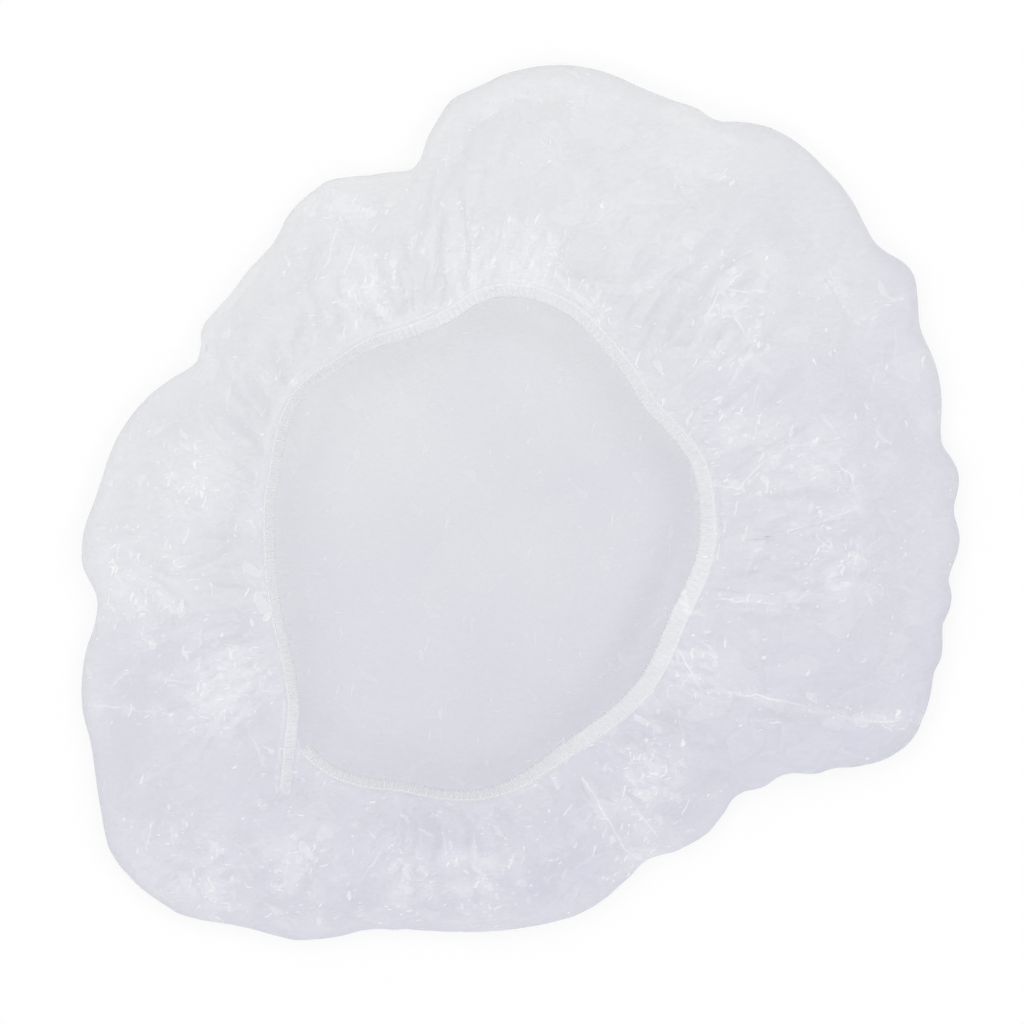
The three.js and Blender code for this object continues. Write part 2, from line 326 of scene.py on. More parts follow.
def disc_grid(count):
    """The share of the radius and the angle of each point of a square grid mapped to a disc."""
    ticks = np.linspace(-1, 1, count)
    a, b = (m.ravel() for m in np.meshgrid(ticks, ticks, indexing="ij"))
    wide = np.abs(a) > np.abs(b)
    radius = np.where(wide, a, b)
    safe = np.where(radius == 0, 1, radius)
    turn = np.where(wide, math.pi / 4 * b / safe, math.pi / 2 - math.pi / 4 * a / safe)
    return np.abs(radius), np.mod(np.where(radius < 0, turn + math.pi, turn), 2 * math.pi)


def by_direction(table, angle):
    """Values of a table with one row per direction, between its rows."""
    place = angle / (2 * math.pi) * DIRECTIONS
    first = np.floor(place).astype(int)
    t = place - first
    low, high = table[first % DIRECTIONS], table[(first + 1) % DIRECTIONS]
    return low + (high - low) * t.reshape((-1,) + (1,) * (table.ndim - 1))


radius_share, angle = disc_grid(GRID)
rows = by_direction(even_path, angle)
at = radius_share * (PATH_STEPS - 1)
low_row = np.minimum(at.astype(int), PATH_STEPS - 2)
pick = np.arange(len(at))
laid = rows[pick, low_row] + (rows[pick, low_row + 1] - rows[pick, low_row]) * (at - low_row)[:, None]
reach = radius_share * by_direction(film_length, angle)
crown_reach = by_direction(crown_length, angle)
flat = np.stack([reach * np.cos(angle), reach * np.sin(angle)], axis=1)
skirt_share = np.clip((reach - crown_reach) / (by_direction(film_length, angle) - crown_reach), 0, 1)
index = np.arange(GRID * GRID).reshape(GRID, GRID)
corners = [index[:-1, :-1], index[1:, :-1], index[1:, 1:], index[:-1, 1:]]
quads = np.stack(corners, axis=-1).reshape(-1, 4).tolist()
print("film radius mm:", round(film_length.min() / MM), "to", round(film_length.max() / MM))

# %% [markdown]
# ## Crumples
# Thin film that has been packed keeps sharp creases between small flat facets. Heights on
# scattered points, joined by triangles, give just that: flat facets that meet in straight ridges.
# The points are scattered on the flat disc, so the facets are drawn together near the elastic as
# the real ones are.

# %% A field of facets
FACET_JITTER = 0.42
FACET_ABOVE = 2.0


def facets(places, spacing, seed):
    """Heights from -1 to 1 on a field of random flat facets of about that spacing."""
    dice = np.random.default_rng(seed)
    half = np.abs(places).max() + 2 * spacing
    count = int(2 * half / spacing) + 1
    i, j = (m.ravel() for m in np.meshgrid(np.arange(count), np.arange(count), indexing="ij"))
    scattered = np.column_stack([i + 0.5 * (j % 2), j]) * spacing - half
    scattered += dice.uniform(-FACET_JITTER, FACET_JITTER, scattered.shape) * spacing
    heights = dice.uniform(-1, 1, len(scattered))
    triangles = geometry.delaunay_2d_cdt([Vector(p) for p in scattered], [], [], 0, 1e-9)[2]
    field = BVHTree.FromPolygons(np.column_stack([scattered, heights]).tolist(), triangles)
    down = Vector((0, 0, -1))
    hits = [field.ray_cast(Vector((x, y, FACET_ABOVE)), down)[0] for x, y in places]
    return np.array([hit.z if hit else 0.0 for hit in hits])


START_FACETS = ((24 * MM, 2.2 * MM, 1), (11 * MM, 1.0 * MM, 2))
CROWN_CALM = 0.12
RIM_CALM = 0.15
CALM_SLOPE = 6
CALM_FROM = 0.4
CALM_AT_HEM = 0.06
START_GAP = 0.3 * MM
start_height = sum(size * facets(flat, spacing, seed) for spacing, size, seed in START_FACETS)
skirt_calm = np.clip(CALM_SLOPE * skirt_share - CALM_FROM, RIM_CALM, 1)
calm = np.where(skirt_share > 0, skirt_calm, CROWN_CALM)
calm *= np.clip((1 - radius_share) / CALM_AT_HEM, 0, 1)
film = new_object("film", laid, quads)
start = laid + points_of(film.data, "normal") * (start_height * calm)[:, None]
start[:, 2] = np.maximum(start[:, 2], START_GAP)
print("start height mm:", round(np.abs(start_height * calm).max() / MM, 2))

# %% [markdown]
# ## Let the film gather
# A cloth simulation draws the film in: its rest shape is part of the way from the laid cap to the
# flat disc, so that there is too much film at the hem, and it buckles into gathers and creases. The
# hem stays where the elastic holds it, and the rim is held softly. The simulation runs at ten times
# the size, where the solver's own tolerances are small beside the film.

# %% Simulate the gathers
SIM_SCALE = 10
SIM_FRAMES = 20
GATHER_PART = 0.35
SLACK = 1.03
RIM_HOLD = 0.7
RIM_PLACE = 1.25 * ROLL_INSET
RIM_BAND = 1.5 * MM
HELD_FROM = 0.9999


def rest_shape():
    """A cone-like shape whose rings are longer than the laid film's, and whose rays are as long."""
    mean_length = film_length.mean()
    ray = shares * mean_length
    ring = np.linalg.norm(even_path[:, :, :2], axis=2).mean(axis=0)
    ring = (1 - GATHER_PART) * ring + GATHER_PART * ray
    climb = np.sqrt(np.clip(1 - np.gradient(ring, ray) ** 2, 0, 1))
    rise = np.cumsum(climb) * (ray[1] - ray[0])
    scale = by_direction(film_length, angle) / mean_length * SLACK
    radius = np.interp(radius_share, shares, ring) * scale
    height = np.interp(radius_share, shares, rise) * scale
    return np.column_stack([radius * np.cos(angle), radius * np.sin(angle), height])


def gather(piece):
    """Runs the cloth simulation on the film and returns the places of its points."""
    piece.data.vertices.foreach_set("co", (start * SIM_SCALE).ravel())
    piece.shape_key_add(name="laid")
    rest = piece.shape_key_add(name="rest")
    rest.data.foreach_set("co", (rest_shape() * SIM_SCALE).ravel())
    held = piece.vertex_groups.new(name="held")
    held.add(np.flatnonzero(radius_share > HELD_FROM).tolist(), 1.0, "REPLACE")
    at_rim = np.abs(reach - crown_reach - RIM_PLACE) < RIM_BAND
    held.add(np.flatnonzero(at_rim).tolist(), RIM_HOLD, "REPLACE")
    cloth = piece.modifiers.new("gather", "CLOTH")
    made = cloth.settings
    made.quality = 6
    made.mass = 0.1
    made.tension_stiffness = made.compression_stiffness = 40
    made.shear_stiffness = 20
    made.bending_model = "ANGULAR"
    made.bending_stiffness = 0.5
    made.air_damping = 4
    made.vertex_group_mass = "held"
    made.rest_shape_key = rest
    made.effector_weights.gravity = 0.15
    cloth.collision_settings.distance_min = 0.003
    bpy.ops.mesh.primitive_plane_add(size=8, location=(0, 0, -0.002))
    table = bpy.context.object
    table.modifiers.new("collision", "COLLISION")
    table.collision.thickness_outer = 0.001
    scene = bpy.context.scene
    for number in range(1, SIM_FRAMES + 1):
        scene.frame_set(number)
    moved = piece.evaluated_get(bpy.context.evaluated_depsgraph_get()).to_mesh()
    places = points_of(moved) / SIM_SCALE
    scene.frame_set(1)
    bpy.data.objects.remove(table)
    return places


gathered = gather(film)
bpy.data.objects.remove(film)
print("film moved mm:", round(np.linalg.norm(gathered - start, axis=1).mean() / MM, 2))

# %% [markdown]
# ## Where the film is creased
# The crinkled patches were read off, in millimetres, as a place, a radius and a strength each.
# A few long folds were read off too, each as a line of places. Between them many short folds are
# scattered with a fixed seed: most lead toward the hem, and none is close to another.

# %% List the patches and the folds
PATCHES = (
    (-14, 76, 12, 1.0), (2, 76, 12, 1.0), (-47, 65, 12, 1.0), (-56, 89, 14, 0.5), (-92, -57, 13, 1.0),
    (-118, -27, 18, 0.6), (-105, 8, 14, 0.6), (68, 66, 12, 0.6), (67, 51, 11, 0.6), (86, 12, 17, 0.5),
    (64, 24, 12, 0.5), (38, -85, 14, 0.7), (38, -107, 12, 0.7), (-16, -116, 16, 0.7), (-35, -116, 13, 0.7),
    (-97, -115, 17, 0.6), (-70, -116, 15, 0.6), (98, -20, 14, 0.5), (20, 60, 12, 0.5), (54, -52, 9, 0.8),
)
FOLDS = (
    ((59, 6), (69, 5), (74, 11), (84, 18), (91, 19), (99, 13), (104, 10), (106, 2)),
    ((84, -8), (93, -5), (106, -1)),
    ((63, -30), (82, -31), (104, -24), (106, -15)),
    ((50, -46), (57, -58), (74, -60), (105, -68), (127, -69)),
    ((20, -86), (35, -112)),
    ((32, -90), (44, -106)),
    ((-77, -59), (-100, -56), (-115, -55)),
    ((-134, -64), (-109, -66)),
    ((76, 78), (63, 67), (55, 51)),
    ((65, 67), (76, 67)),
    ((64, 59), (67, 59), (73, 50), (67, 39)),
    ((-47, 91), (-50, 85), (-55, 72)),
    ((-55, 64), (-55, 53)),
    ((-53, 68), (-50, 59)),
    ((-58, 87), (-60, 77)),
)
SMALL_FOLDS = 90
SMALL_FOLD_LENGTH = (4, 15)
SMALL_FOLD_APART = 7
SMALL_FOLD_PLACE = (0.08, 0.85)
SMALL_FOLD_TURN = 0.7
SMALL_FOLD_WHITE = (0.25, 0.7)


def small_folds():
    """Short straight folds between the rim and the hem, and how white each is: crinkle and painted
    highlight.
    """
    dice = np.random.default_rng(15)
    middles = [np.mean(line, axis=0) for line in FOLDS]
    made = []
    while len(made) < SMALL_FOLDS:
        k = dice.integers(DIRECTIONS)
        middle = (rim[k] + inward[k] * span[k] * dice.uniform(*SMALL_FOLD_PLACE)) / MM
        turn = math.atan2(inward[k][1], inward[k][0]) + dice.normal(0, SMALL_FOLD_TURN)
        half = 0.5 * dice.uniform(*SMALL_FOLD_LENGTH) * np.array([math.cos(turn), math.sin(turn)])
        if all(np.linalg.norm(middle - other) > SMALL_FOLD_APART for other in middles):
            middles.append(middle)
            made.append((middle - half, middle + half))
    return made, dice.uniform(*SMALL_FOLD_WHITE, SMALL_FOLDS)


scattered_folds, scattered_white = small_folds()
print("patches:", len(PATCHES), "long folds:", len(FOLDS), "short folds:", len(scattered_folds))

# %% [markdown]
# ## Creases in the gathered film
# The simulated film is refined once, and then gets the facets that are too small for the
# simulation. They are strongest in the patches and weakest on the crown, which the table keeps flat.
# The film is pinched up along each fold. The signed distance from the nearest fold is stored too, so
# that the material can draw a painted highlight line along it that is thinner than the mesh. Beside
# the hem the gathers are close, and the film is whiter there all the way round. The tail of the seam
# lies under the film, and the film over it is marked.

# %% Refine the film
GATHER_SLOPE = 4
PLAIN_AT_HEM = 0.02
film = new_object("film", gathered, quads)
for name, values in (
    ("flat", np.column_stack([flat, np.zeros(len(flat))])),
    ("gathered", np.clip(GATHER_SLOPE * skirt_share, 0, 1)),
    ("to_hem", by_direction(film_length, angle) - reach),
    ("edge", np.clip((1 - radius_share) / PLAIN_AT_HEM, 0, 1)),
):
    set_attribute(film.data, name, values)
refine = film.modifiers.new("refine", "SUBSURF")
refine.levels = refine.render_levels = 1
finished(film)

fine_flat = get_attribute(film.data, "flat", 3)[:, :2]
skirt = get_attribute(film.data, "gathered")
edge = get_attribute(film.data, "edge")
places = points_of(film.data)
print("film triangles:", 2 * len(film.data.polygons))

# %% Find the patches and the folds
FOLD_WIDTH = 3 * MM
FOLD_CRINKLE = 0.5


def beside(line, places):
    """How far places are, in plan, from a line of points in millimetres, below zero on its right."""
    nearest = np.full(len(places), np.inf)
    knots = np.array(line) * MM
    for a, b in zip(knots[:-1], knots[1:]):
        offset = places[:, :2] - a
        share = np.clip(offset @ (b - a) / ((b - a) @ (b - a)), 0, 1)
        distance = np.linalg.norm(offset - share[:, None] * (b - a), axis=1)
        left = np.where((b - a)[0] * offset[:, 1] > (b - a)[1] * offset[:, 0], 1.0, -1.0)
        nearest = np.where(distance < np.abs(nearest), left * distance, nearest)
    return nearest


patch = np.zeros(len(places))
for x, y, radius, weight in PATCHES:
    distance = np.hypot(places[:, 0] - x * MM, places[:, 1] - y * MM) / (radius * MM)
    patch = np.maximum(patch, weight * np.exp(-distance ** 2))
sides = np.array([beside(line, places) for line in (*FOLDS, *scattered_folds)])
nearest = np.abs(sides).argmin(axis=0)
fold_side = sides[nearest, np.arange(len(places))]
fold_white = np.concatenate([np.ones(len(FOLDS)), scattered_white])[nearest]
fold = np.abs(fold_side) / FOLD_WIDTH
patch = np.maximum(patch, FOLD_CRINKLE * fold_white ** 2 * np.exp(-fold ** 2))
print("share in patches or on folds:", round((patch > FOLD_CRINKLE / 2).mean(), 3))

# %% Crease the film
FOLD_HEIGHT = 0.8 * MM
FINE_FACETS = ((20 * MM, 1.0 * MM, 11), (9 * MM, 0.45 * MM, 12), (4.5 * MM, 0.2 * MM, 13))
PATCH_FLOOR = 0.35
PATCH_BREAK = 4.5 * MM
PATCH_UNEVEN = 0.9
CROWN_CREASE = 0.2
CROWN_CRINKLE = 0.05
HEM_CRINKLE = 0.25
HEM_REACH = 22 * MM
TABLE_GAP = 0.4 * MM
TAIL_REACH = 2.7 * MM
TAIL_FADE = 1.2 * MM
broken = 1 + PATCH_UNEVEN * facets(fine_flat, PATCH_BREAK, 14)
strength = (PATCH_FLOOR + (1 - PATCH_FLOOR) * patch) * (CROWN_CREASE + (1 - CROWN_CREASE) * skirt) * edge
creases = strength * sum(size * facets(fine_flat, spacing, seed) for spacing, size, seed in FINE_FACETS)
creases += FOLD_HEIGHT * np.clip(1 - fold, 0, 1) * skirt * edge
places = places + points_of(film.data, "normal") * creases[:, None]
places[:, 2] = (places[:, 2] + np.hypot(places[:, 2], TABLE_GAP)) / 2
by_hem = HEM_CRINKLE * np.clip(1 - get_attribute(film.data, "to_hem") / HEM_REACH, 0, 1)
crinkle = np.maximum(np.clip(patch * broken, 0, 1) * skirt, by_hem) + CROWN_CRINKLE * (1 - skirt)
tail = (route + face * FOLD_DEPTH)[:int(np.argmax(on_ring)) + 1]
off_tail = np.abs(beside(tail[1:, :2] / MM, places))
for name, values in (
    ("laid", places),
    ("crinkle", crinkle),
    ("fold", fold_side),
    ("on_fold", np.clip(1 - fold, 0, 1) * fold_white * skirt),
    ("over_tail", np.clip((TAIL_REACH - off_tail) / TAIL_FADE, 0, 1) * skirt),
):
    set_attribute(film.data, name, values)
film.data.vertices.foreach_set("co", places.ravel())
film.data.update()
film.data.shade_smooth()
print("film top mm:", round(places[:, 2].max() / MM, 1))

# %% [markdown]
# ## Polyethylene film
# Blown polyethylene is nearly clear and a little milky, with a soft gloss. Where it lies flat on a
# table it looks a plain pale grey, and where it is gathered its many creases scatter light and it
# turns whiter. The grey turns from neutral to a darker, faint lavender across the cap, which is
# painted shade. The glints on the small facets beside sharp creases are painted highlights: white
# drawn into the colour on long cells of four sizes, most of them plain, and more of them white where
# the film is crinkled, and these cells also shine. The cells are drawn on where each point lies at
# rest, which is stored on the mesh and so moves with the film.

# %% Painted highlight flecks of four sizes
# The white of each size is the strength of its painted highlight.
FLECK_SIZES = (
    {"size": (11.0 * MM, 6.5 * MM), "turn": 0.3, "white": 0.22, "calm": 0.3, "crinkled": 0.4},
    {"size": (5.4 * MM, 2.2 * MM), "turn": -0.8, "white": 0.6, "calm": 0.014, "crinkled": 0.36},
    {"size": (3.4 * MM, 0.9 * MM), "turn": 1.3, "white": 1.0, "calm": 0.004, "crinkled": 0.17},
    {"size": (2.0 * MM, 0.6 * MM), "turn": 0.2, "white": 1.0, "calm": 0.002, "crinkled": 0.14},
)
WANDER = 7 * MM
WARP = 2.2 * MM
FLECK_VARIETY = 1.5


def wandering(tree, place):
    """Places that wander a little, so that cells drawn on them have no straight rows."""
    drift = add(tree, "ShaderNodeTexNoise", {"Vector": place, "Scale": 1 / WANDER, "Detail": 1.0})
    aside = add(tree, "ShaderNodeVectorMath", {0: drift.outputs["Color"], 1: (0.5, 0.5, 0.5)},
                operation="SUBTRACT")
    return add(tree, "ShaderNodeVectorMath", {0: aside, 1: (2 * WARP, 2 * WARP, 2 * WARP), 2: place},
               operation="MULTIPLY_ADD")


def fleck_cells(tree, place, size, turn):
    """A random colour on each of many long, thin cells."""
    length, width = size
    turned = add(tree, "ShaderNodeMapping", {
        "Vector": place, "Rotation": (0.0, 0.0, turn), "Scale": (length, width, width),
    }, vector_type="TEXTURE")
    return add(tree, "ShaderNodeTexVoronoi", {"Vector": turned, "Scale": 1.0}).outputs["Color"]


def painted_glint_whiteness(tree, cells, kind, crinkle, spread):
    """How white each cell's painted highlight is, for one size: nothing on most, some strength on a few."""
    chance, strength, _ = add(tree, "ShaderNodeSeparateColor", {"Color": cells}).outputs
    calm = add(tree, "ShaderNodeMath", {0: spread, 1: kind["calm"]}, operation="MULTIPLY")
    share = add(tree, "ShaderNodeMath", {0: crinkle, 1: kind["crinkled"], 2: calm},
                operation="MULTIPLY_ADD")
    reached = add(tree, "ShaderNodeMath", {0: chance, 1: share}, operation="ADD")
    glint_painted = add(tree, "ShaderNodeMath", {0: reached, 1: 1.0}, operation="GREATER_THAN")
    varied = add(tree, "ShaderNodeMath", {0: strength, 1: FLECK_VARIETY}, operation="POWER")
    strongest = add(tree, "ShaderNodeMath", {0: varied, 1: kind["white"]}, operation="MULTIPLY")
    return add(tree, "ShaderNodeMath", {0: glint_painted, 1: strongest}, operation="MULTIPLY")


print("sizes of fleck:", len(FLECK_SIZES))

# %% Painted highlight lines along the folds
LEAN = 0.4
FOLD_LINE = 0.6 * MM
FOLD_CREST = 0.2 * FOLD_LINE
FOLD_SWAY = 4 * FOLD_LINE
FOLD_WAVER = 5 * MM
FOLD_FADES = 10 * MM
FOLD_SHOWN = (0.36, 0.62)
FOLD_FAINT = 0.1


def painted_fold_highlights(tree, place):
    """A painted highlight: a thin white line along the crest of each fold, which wavers and comes and goes.
    """
    beside_fold = add(tree, "ShaderNodeAttribute", attribute_name="fold").outputs["Fac"]
    on_fold = add(tree, "ShaderNodeAttribute", attribute_name="on_fold").outputs["Fac"]
    waver = add(tree, "ShaderNodeTexNoise", {"Vector": place, "Scale": 1 / FOLD_WAVER, "Detail": 1.0})
    aside = add(tree, "ShaderNodeMath", {0: waver, 1: 0.5}, operation="SUBTRACT")
    line = add(tree, "ShaderNodeMath", {0: aside, 1: FOLD_SWAY, 2: beside_fold}, operation="MULTIPLY_ADD")
    off = add(tree, "ShaderNodeMath", {0: line}, operation="ABSOLUTE")
    crest = add(tree, "ShaderNodeMapRange", {
        "Value": off, "From Min": FOLD_LINE, "From Max": FOLD_CREST})
    fading = add(tree, "ShaderNodeTexNoise", {"Vector": place, "Scale": 1 / FOLD_FADES, "Detail": 1.0})
    shown = add(tree, "ShaderNodeMapRange", {
        "Value": fading, "From Min": FOLD_SHOWN[0], "From Max": FOLD_SHOWN[1], "To Min": FOLD_FAINT})
    fold = add(tree, "ShaderNodeMath", {0: on_fold, 1: shown}, operation="MULTIPLY")
    return add(tree, "ShaderNodeMath", {0: crest, 1: fold}, operation="MULTIPLY")


def flecks(tree, place, crinkle, spread):
    """Painted highlights of all fleck sizes and fold lines, and a normal leaning another way on each small
    cell.
    """
    wander = wandering(tree, place)
    fleck = painted_fold_highlights(tree, place)
    for kind in FLECK_SIZES:
        cells = fleck_cells(tree, wander, kind["size"], kind["turn"])
        white = painted_glint_whiteness(tree, cells, kind, crinkle, spread)
        fleck = add(tree, "ShaderNodeMath", {0: fleck, 1: white}, operation="MAXIMUM")
    way = add(tree, "ShaderNodeVectorMath", {0: cells, 1: (0.5, 0.5, 0.5)}, operation="SUBTRACT")
    facing = add(tree, "ShaderNodeNewGeometry").outputs["Normal"]
    tilted = add(tree, "ShaderNodeVectorMath", {0: way, 1: (LEAN, LEAN, LEAN), 2: facing},
                 operation="MULTIPLY_ADD")
    return fleck, add(tree, "ShaderNodeVectorMath", {0: tilted}, operation="NORMALIZE")


print("fold lines mm wide:", 2 * FOLD_LINE / MM)

# %% [markdown]
# Most of the light that the haze turns aside still goes on through the film, so the film dims what
# lies under it less than its look suggests. The haze is therefore thinner for light on its way to
# something else than for the eye. It is thinner for the eye too where the film lies smooth over the
# tail of the seam.

# %% Light through thin things
LIGHT_STOPPED = 0.25


def stopped(tree, share):
    """One for what is seen, and that share for light on its way through something thin."""
    path = add(tree, "ShaderNodeLightPath").outputs
    passing = add(tree, "ShaderNodeMath", {0: path["Is Shadow Ray"], 1: path["Is Diffuse Ray"]},
                  operation="MAXIMUM")
    return add(tree, "ShaderNodeMapRange", {"Value": passing, "To Min": 1.0, "To Max": share})


def let_through(tree, surface, opacity):
    """Ends a material with its surface, mixed with plain transparency by its opacity."""
    clear = add(tree, "ShaderNodeBsdfTransparent")
    mixed = add(tree, "ShaderNodeMixShader", {0: opacity, 1: clear, 2: surface})
    add(tree, "ShaderNodeOutputMaterial", {"Surface": mixed})


print("share of the haze that stops light:", LIGHT_STOPPED)

# %% The film's material
# The way of the tint is painted shade: the film is drawn darker and more lavender toward one side.
PAINTED_SHADE_WAY = (-0.4, 1.0, 0.0)
TINT_FROM = 0.11
TINT_TO = -0.13
TINT_DRIFT = 0.16
CLOUD = 45 * MM
CRINKLE_WHITE = linear("#f6f6fb")
CRINKLE_WHITENING = 0.6
CRINKLE_HAZE = 0.1
# The white of the painted highlights on flecks and fold lines.
PAINTED_GLINT_WHITE = linear("#ffffff")
PAINTED_GLINT_WHITENING = (0.25, 0.85)
FLECK_HAZE = 0.1
FLECK_CLOUD = (0.38, 0.65)
FLECK_CLOUD_MOST = 2.0
ROUGHNESS_PLAIN = 0.3
ROUGHNESS_FLECK = 0.16
POLYETHYLENE_IOR = 1.51
HAZE_OVER_TAIL = 0.3


def film_colour(tree, painted_shade_and_tone, gather_share, flat_colours, gathered_colours):
    """The grey, from neutral to a darker lavender that is painted shade, for flat and gathered film."""
    tinted = []
    for neutral, lavender in (flat_colours, gathered_colours):
        tinted.append(add(tree, "ShaderNodeMix", {
            "Factor": painted_shade_and_tone, "A": linear(neutral), "B": linear(lavender)}, data_type="RGBA"))
    return add(tree, "ShaderNodeMix", {
        "Factor": gather_share, "A": tinted[0], "B": tinted[1]}, data_type="RGBA")


def film_material(name, flat_colours, gathered_colours, haze_flat, haze_gathered):
    """Clear film: mostly see-through, with a milky haze and painted highlight flecks where it is gathered.
    """
    material, tree = new_material(name)
    laid_place = add(tree, "ShaderNodeAttribute", attribute_name="laid").outputs["Vector"]
    gather_share, crinkle, over_tail = [
        add(tree, "ShaderNodeAttribute", attribute_name=field).outputs["Fac"]
        for field in ("gathered", "crinkle", "over_tail")]
    object_place = add(tree, "ShaderNodeTexCoord").outputs["Object"]
    # Painted shade: darker, more lavender film toward one side, with a cloud of tone that differs at
    # random.
    level = add(tree, "ShaderNodeVectorMath", {0: object_place, 1: PAINTED_SHADE_WAY}, operation="DOT_PRODUCT")
    cloud = add(tree, "ShaderNodeTexNoise", {"Vector": object_place, "Scale": 1 / CLOUD, "Detail": 2.0})
    drift = add(tree, "ShaderNodeMath", {0: cloud, 1: 0.5}, operation="SUBTRACT")
    uneven = add(tree, "ShaderNodeMath", {0: drift, 1: TINT_DRIFT, 2: level}, operation="MULTIPLY_ADD")
    painted_shade_and_tone = add(tree, "ShaderNodeMapRange", {"Value": uneven, "From Min": TINT_FROM, "From Max": TINT_TO})
    clean = film_colour(tree, painted_shade_and_tone, gather_share, flat_colours, gathered_colours)
    whitened = add(tree, "ShaderNodeMath", {0: crinkle, 1: CRINKLE_WHITENING}, operation="MULTIPLY")
    milky = add(tree, "ShaderNodeMix", {
        "Factor": whitened, "A": clean, "B": CRINKLE_WHITE}, data_type="RGBA")
    spread = add(tree, "ShaderNodeMapRange", {
        "Value": cloud, "From Min": FLECK_CLOUD[0], "From Max": FLECK_CLOUD[1], "To Max": FLECK_CLOUD_MOST})
    fleck, leaning = flecks(tree, laid_place, crinkle, spread)
    # Painted highlights: fleck cells and fold lines whitened into the colour, most on gathered film.
    painted_glint_strength = add(tree, "ShaderNodeMapRange", {
        "Value": gather_share, "To Min": PAINTED_GLINT_WHITENING[0], "To Max": PAINTED_GLINT_WHITENING[1]})
    painted_glint = add(tree, "ShaderNodeMath", {0: fleck, 1: painted_glint_strength}, operation="MULTIPLY")
    glint_painted = add(tree, "ShaderNodeMix", {
        "Factor": painted_glint, "A": milky, "B": PAINTED_GLINT_WHITE}, data_type="RGBA")
    haze = add(tree, "ShaderNodeMapRange", {
        "Value": gather_share, "To Min": haze_flat, "To Max": haze_gathered})
    crinkled = add(tree, "ShaderNodeMath", {0: crinkle, 1: CRINKLE_HAZE, 2: haze}, operation="MULTIPLY_ADD")
    flecked = add(tree, "ShaderNodeMath", {0: fleck, 1: FLECK_HAZE, 2: crinkled}, operation="MULTIPLY_ADD")
    cleared = add(tree, "ShaderNodeMapRange", {
        "Value": over_tail, "To Min": 1.0, "To Max": HAZE_OVER_TAIL})
    hazy = add(tree, "ShaderNodeMath", {0: flecked, 1: cleared}, operation="MULTIPLY")
    opacity = add(tree, "ShaderNodeMath", {0: hazy, 1: stopped(tree, LIGHT_STOPPED)}, operation="MULTIPLY")
    gloss = add(tree, "ShaderNodeMapRange", {
        "Value": fleck, "To Min": ROUGHNESS_PLAIN, "To Max": ROUGHNESS_FLECK})
    shiny = add(tree, "ShaderNodeBsdfPrincipled", {
        "Base Color": glint_painted, "Roughness": gloss, "IOR": POLYETHYLENE_IOR, "Normal": leaning})
    let_through(tree, shiny, opacity)
    return material


film.data.materials.append(film_material(
    "polyethylene_film", ("#cdcfd4", "#b0b1c7"), ("#ebecef", "#d6d7e5"),
    haze_flat=0.52, haze_gathered=0.48))
print("film material nodes:", len(film.data.materials[0].node_tree.nodes))

# %% [markdown]
# ## The hem
# At the hem the film is turned over the elastic and sewn down. Each stitch pinches the fold, and
# between the stitches the film stands up in a small pucker. The fold is a strip with a C-shaped
# section that follows the route, leaning as the real hem does, with one pucker for each stitch. Round
# the mouth it varies from bunched and white to drawn thin, where the elastic shows through as a
# greyer core: this greyer core is painted shade. How bunched it is was read off for a few
# directions. The tail, which is left over where the seam ends, is crinkled, and its white is painted
# light that lifts the shade it lies in.

# %% The section of the fold
STITCH = 1.9 * MM
FOLD_STEPS = 8
TURN_FROM = 0.75
TURN_BEND = (0.93 * HEM_HALF_WIDTH, 0.72 * FOLD_DEPTH)
stitch_count = int(round(route_length / STITCH))


def along_route(values, count):
    """Values along the route at even steps."""
    old = np.linspace(0, 1, len(values))
    new = np.linspace(0, 1, count)
    return np.column_stack([np.interp(new, old, values[:, k]) for k in range(values.shape[1])])


def hem_steps(count):
    """Places on the route at even steps, and the directions across the hem and square to its face."""
    return along_route(route, count), unit(along_route(across, count)), unit(along_route(face, count))


def fold_section(pucker):
    """Places across the hem and square to its face, from the outer top edge round the fold to below."""
    top = []
    for u in np.linspace(HEM_HALF_WIDTH, -TURN_FROM * HEM_HALF_WIDTH, FOLD_STEPS):
        top.append((u, FOLD_DEPTH + pucker * (1 - abs(u) / HEM_HALF_WIDTH) ** 0.5))
    wide, deep = TURN_BEND
    turn = [(-wide, deep), (-HEM_HALF_WIDTH, 0.0), (-wide, -deep)]
    bottom = [(u, -v) for u, v in reversed(top)]
    return np.array(top + turn + bottom)


print("stitches:", stitch_count)

# %% Make the ruched fold
PUCKER_STEPS = 6
PUCKER_HEIGHT = 0.36 * MM
PUCKER_SINK = 0.08 * MM
PUCKER_LEAST = 0.1
PUCKER_MORE = 1.5
PUCKER_SPREAD = (0.6, 1.4)
PUCKER_ROUND = 0.8
PLEAT_STITCHES = 5
# Low values paint shade: the hem is drawn thin there and its core shows greyer.
BUNCHED_AND_PAINTED_SHADE = ((-180, 0.35), (-150, 0.1), (-120, 0.25), (-90, 0.3), (-60, 0.6), (-40, 1.0), (0, 1.0),
           (30, 0.8), (60, 0.7), (90, 1.0), (110, 1.0), (125, 0.2), (140, 0.0), (160, 0.1))
